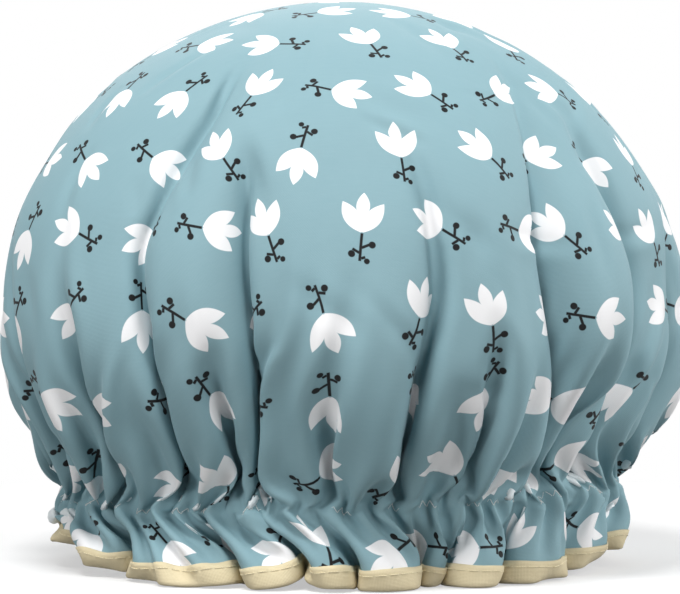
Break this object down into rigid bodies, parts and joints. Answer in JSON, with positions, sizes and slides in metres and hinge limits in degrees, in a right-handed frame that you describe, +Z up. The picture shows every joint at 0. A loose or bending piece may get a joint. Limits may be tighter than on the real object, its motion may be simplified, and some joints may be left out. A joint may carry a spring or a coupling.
{
  "type": "shower cap",
  "caption": "Puffed two-layer shower cap: gathered printed fabric crown over a waterproof film liner, elastic opening, and a bound frill below the gather.",
  "frame": {"origin": "middle of the mouth, on the plane that the hem stands on", "axes": "+Z up through the top of the crown, -Y towards the pictured front, +X to the right of that front"},
  "size_m": [0.2348, 0.236, 0.191],
  "materials": {
    "cover_fabric": "smooth light woven cloth, softly sheened, with a white and black print",
    "liner_film": "thin milky waterproof film",
    "elastic_braid": "braided white elastic",
    "binding_tape": "cream folded cotton tape",
    "sewing_thread": "white sewing thread",
    "binding_thread": "cream sewing thread"
  },
  "bodies": {
    "root": {"outer_cover": "cover_fabric", "waterproof_liner": "liner_film", "elastic_band": "elastic_braid", "elastic_join_stitches": "sewing_thread", "gathering_needle_thread": "sewing_thread", "gathering_bobbin_thread": "sewing_thread", "hem_binding": "binding_tape", "binding_needle_thread": "binding_thread", "binding_bobbin_thread": "binding_thread"}
  },
  "joints": []
}
